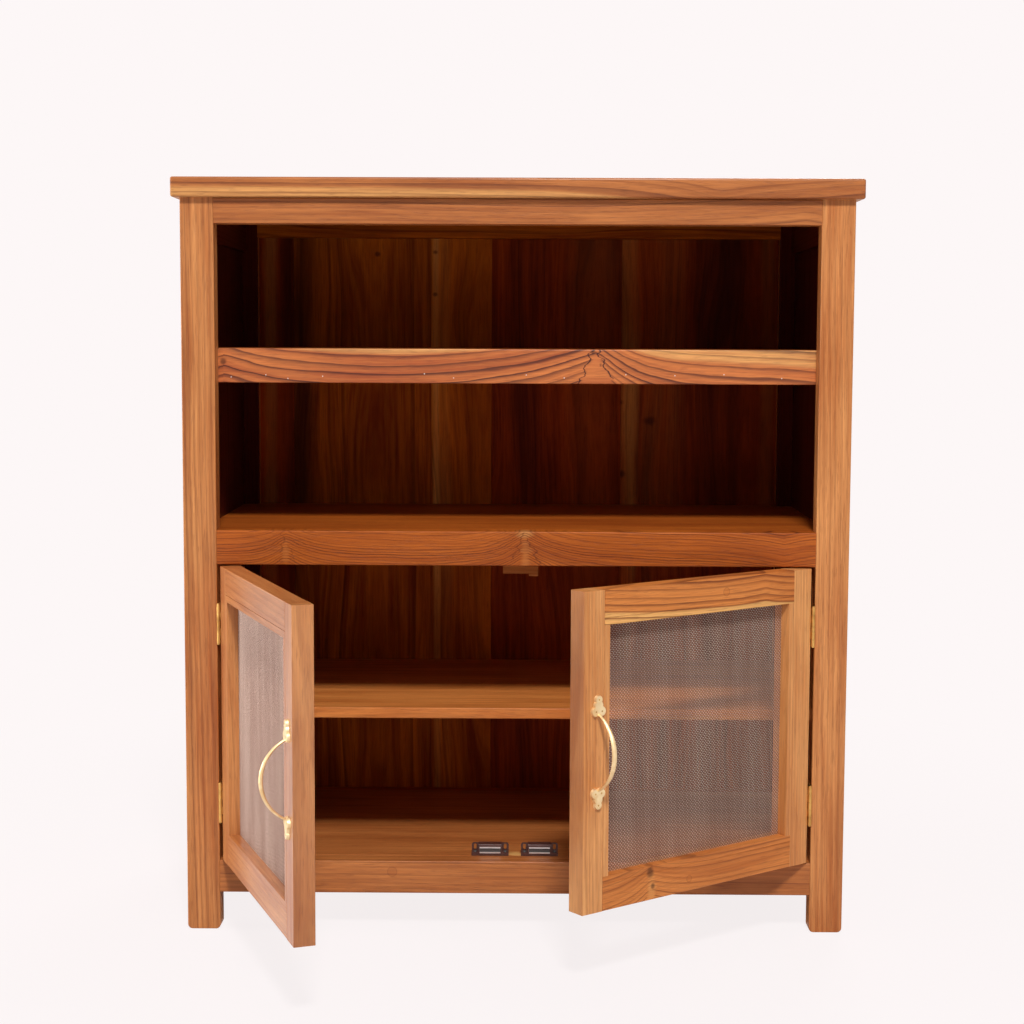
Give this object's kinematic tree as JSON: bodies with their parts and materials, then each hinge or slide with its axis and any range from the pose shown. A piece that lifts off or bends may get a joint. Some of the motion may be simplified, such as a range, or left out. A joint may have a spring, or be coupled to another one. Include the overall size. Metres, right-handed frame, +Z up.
{
  "type": "cupboard",
  "caption": "Teak frame cupboard with open shelf bays above and a pair of hinged wire-mesh doors below, cast brass bow handles, butt hinges and magnetic catches",
  "frame": {"origin": "on the floor, at the middle of the four legs", "axes": "+X to the right of someone facing the doors, +Y to the back, +Z up"},
  "size_m": [0.86, 0.7606, 0.956],
  "materials": {
    "teak_frame": "satin lacquer",
    "teak_boards": "satin lacquer",
    "mesh_wire": "woven wire",
    "cast_brass": "cast, part polished",
    "hinge_brass": "pressed sheet",
    "catch_plastic": "moulded",
    "catch_steel": "zinc plated",
    "magnet_ferrite": "sintered"
  },
  "bodies": {
    "carcass": {"back_bottom_rail": "teak_frame", "back_left_leg": "teak_frame", "back_plank_1": "teak_boards", "back_plank_2": "teak_boards", "back_plank_3": "teak_boards", "back_plank_4": "teak_boards", "back_plank_5": "teak_boards", "back_right_leg": "teak_frame", "back_top_rail": "teak_frame", "bottom_board": "teak_boards", "bottom_board_cleats": "teak_boards", "catch_magnets": "magnet_ferrite", "catch_pole_plates": "catch_steel", "catch_screws": "catch_steel", "door_stop": "teak_frame", "frame_hinge_screws": "hinge_brass", "front_bottom_rail": "teak_frame", "front_left_leg": "teak_frame", "front_mid_rail": "teak_frame", "front_right_leg": "teak_frame", "front_top_rail": "teak_frame", "hinge_pins": "hinge_brass", "left_catch_housing": "catch_plastic", "left_hinge_frame_leaves": "hinge_brass", "left_side_bottom_rail": "teak_frame", "left_side_panel": "teak_boards", "left_side_top_rail": "teak_frame", "lower_shelf": "teak_boards", "lower_shelf_cleats": "teak_boards", "mid_shelf": "teak_boards", "mid_shelf_cleats": "teak_boards", "open_shelf": "teak_boards", "open_shelf_cleats": "teak_boards", "open_shelf_lipping": "teak_frame", "right_catch_housing": "catch_plastic", "right_hinge_frame_leaves": "hinge_brass", "right_side_bottom_rail": "teak_frame", "right_side_panel": "teak_boards", "right_side_top_rail": "teak_frame", "top_board": "teak_frame"},
    "left_door": {"left_door_beads": "teak_frame", "left_door_bottom_rail": "teak_frame", "left_door_handle": "cast_brass", "left_door_hinge_leaves": "hinge_brass", "left_door_hinge_screws": "hinge_brass", "left_door_hinge_stile": "teak_frame", "left_door_lock_stile": "teak_frame", "left_door_mesh": "mesh_wire", "left_door_strike_plate": "catch_steel", "left_door_top_rail": "teak_frame"},
    "right_door": {"right_door_beads": "teak_frame", "right_door_bottom_rail": "teak_frame", "right_door_handle": "cast_brass", "right_door_hinge_leaves": "hinge_brass", "right_door_hinge_screws": "hinge_brass", "right_door_hinge_stile": "teak_frame", "right_door_lock_stile": "teak_frame", "right_door_mesh": "mesh_wire", "right_door_strike_plate": "catch_steel", "right_door_top_rail": "teak_frame"}
  },
  "joints": [
    {"name": "left_door_hinge", "type": "hinge", "parent": "carcass", "child": "left_door", "pos_m": [-0.376, -0.207, 0.281], "axis": [0, 0, -1], "range_deg": [-69, 101]},
    {"name": "right_door_hinge", "type": "hinge", "parent": "carcass", "child": "right_door", "pos_m": [0.376, -0.207, 0.281], "axis": [0, 0, 1], "range_deg": [-38, 132]}
  ]
}
